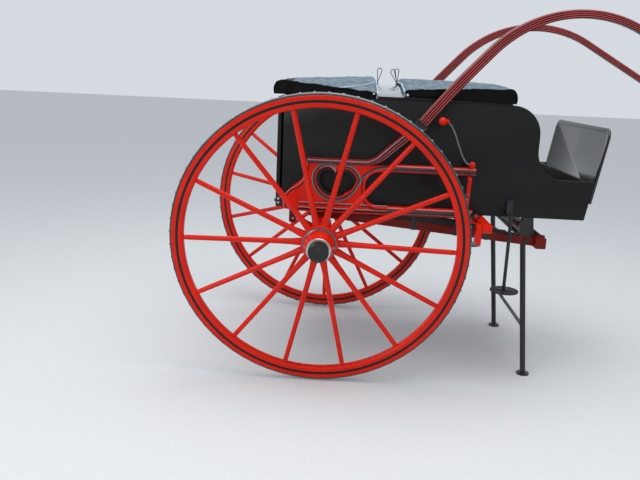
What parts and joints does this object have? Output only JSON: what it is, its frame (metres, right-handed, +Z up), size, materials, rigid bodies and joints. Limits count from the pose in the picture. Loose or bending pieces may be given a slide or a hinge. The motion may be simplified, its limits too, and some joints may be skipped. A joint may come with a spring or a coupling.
{
  "type": "two-wheeled horse-drawn carriage",
  "caption": "Two-wheeled horse-drawn carriage with a black box body, carved red side frames, swan-neck shafts, canted red wheels, leather seat covers, a drop tailboard and a folding prop.",
  "frame": {"origin": "on the ground, midway along the whole length and on the centre line", "axes": "+X forwards along the shafts, +Y to the left (near) side, +Z up"},
  "size_m": [3.9407, 1.6896, 1.9666],
  "materials": {
    "black_lacquer": "satin black coach varnish over wood panels",
    "deck_lacquer": "gloss black varnish",
    "floor_boards": "black-stained boards",
    "patent_leather": "gloss patent leather",
    "black_iron": "black painted iron",
    "cushion_cloth": "plain black cloth",
    "cover_leather": "oiled blue-black leather",
    "strap_leather": "black harness leather",
    "vermilion_paint": "gloss vermilion paint",
    "maroon_paint": "gloss maroon paint with lining",
    "dark_red_paint": "dark red paint in shade",
    "grey_iron": "dull worked iron",
    "tyre_rubber": "black rubber",
    "cap_enamel": "black enamelled cap"
  },
  "bodies": {
    "carriage": {"floor": "floor_boards", "side_panel_right": "black_lacquer", "side_panel_left": "black_lacquer", "seat_riser": "black_lacquer", "rear_header": "black_lacquer", "top_deck": "deck_lacquer", "toe_board": "floor_boards", "dashboard": "patent_leather", "hinge_leaves": "black_iron", "rear_cushion": "cushion_cloth", "front_cushion": "cushion_cloth", "rear_cover": "cover_leather", "front_cover": "cover_leather", "strap_loops": "strap_leather", "carved_panel_right": "vermilion_paint", "carved_panel_left": "vermilion_paint", "side_rails_right": "vermilion_paint", "side_rails_left": "vermilion_paint", "shaft_right": "maroon_paint", "shaft_left": "maroon_paint", "shaft_collars": "black_iron", "axle": "dark_red_paint", "axle_blocks": "vermilion_paint", "sole_bar_right": "dark_red_paint", "sole_bar_left": "dark_red_paint", "spring_right": "black_iron", "spring_left": "black_iron", "spring_pads": "vermilion_paint", "rear_shackles": "dark_red_paint", "front_hangers": "black_iron", "front_crossbar": "dark_red_paint", "trace_eyes": "black_iron", "steps": "black_iron", "brake_beam": "dark_red_paint", "brake_shoes": "dark_red_paint", "brake_rod": "vermilion_paint", "brake_lever": "grey_iron"},
    "right_wheel": {"hub_right": "vermilion_paint", "spokes_right": "vermilion_paint", "felloes_right": "vermilion_paint", "tyre_right": "tyre_rubber", "hub_cap_right": "cap_enamel"},
    "left_wheel": {"hub_left": "vermilion_paint", "spokes_left": "vermilion_paint", "felloes_left": "vermilion_paint", "tyre_left": "tyre_rubber", "hub_cap_left": "cap_enamel"},
    "tailboard": {"tailboard": "black_lacquer", "tailboard_straps": "black_iron"},
    "prop_stand": {"prop_stand": "black_iron"}
  },
  "joints": [
    {"name": "right_wheel_spin", "type": "hinge", "parent": "carriage", "child": "right_wheel", "pos_m": [-1.20708, -0.713, 0.76164], "axis": [0, -0.9941, -0.1089], "continuous": true},
    {"name": "left_wheel_spin", "type": "hinge", "parent": "carriage", "child": "left_wheel", "pos_m": [-1.20708, 0.713, 0.76164], "axis": [0, 0.9941, -0.1089], "continuous": true},
    {"name": "tailboard_drop", "type": "hinge", "parent": "carriage", "child": "tailboard", "pos_m": [-1.46908, 0, 0.915], "axis": [0, -1, 0], "range_deg": [0, 85]},
    {"name": "prop_fold", "type": "hinge", "parent": "carriage", "child": "prop_stand", "pos_m": [-0.11708, 0, 0.78414], "axis": [0, 1, 0], "range_deg": [0, 92]}
  ]
}
